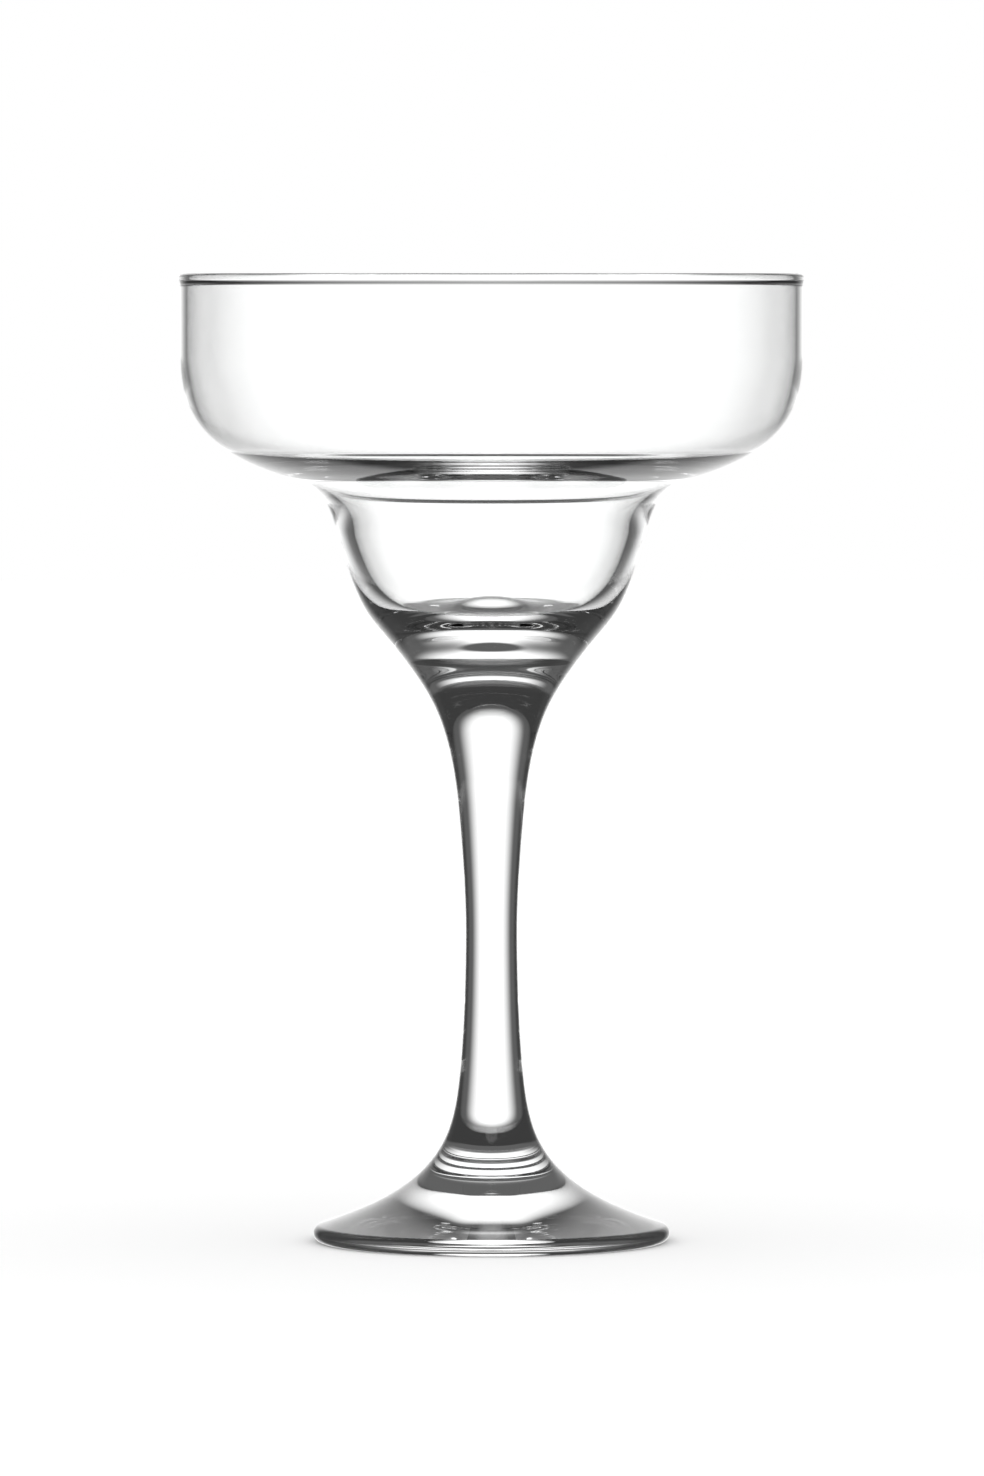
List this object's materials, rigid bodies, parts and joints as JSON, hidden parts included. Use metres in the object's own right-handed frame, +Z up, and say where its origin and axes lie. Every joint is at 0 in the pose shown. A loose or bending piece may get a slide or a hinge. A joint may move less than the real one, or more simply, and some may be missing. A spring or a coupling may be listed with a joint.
{
  "type": "margarita glass",
  "caption": "Stemmed clear drinking glass: a wide straight-sided basin over a small rounded cup, on a drawn stem with a round foot.",
  "frame": {"origin": "centre of the flat ring under the foot, on the table", "axes": "+Z up the glass's axis towards the rim; the glass is round, so X and Y are any two square directions"},
  "size_m": [0.1108, 0.1108, 0.1718],
  "materials": {
    "foot_glass": "clear colourless soda-lime glass, fire polished",
    "stem_glass": "clear colourless soda-lime glass, fire polished",
    "bowl_glass": "clear colourless soda-lime glass, fire polished"
  },
  "bodies": {
    "root": {"foot": "foot_glass", "stem": "stem_glass", "bowl": "bowl_glass"}
  },
  "joints": []
}
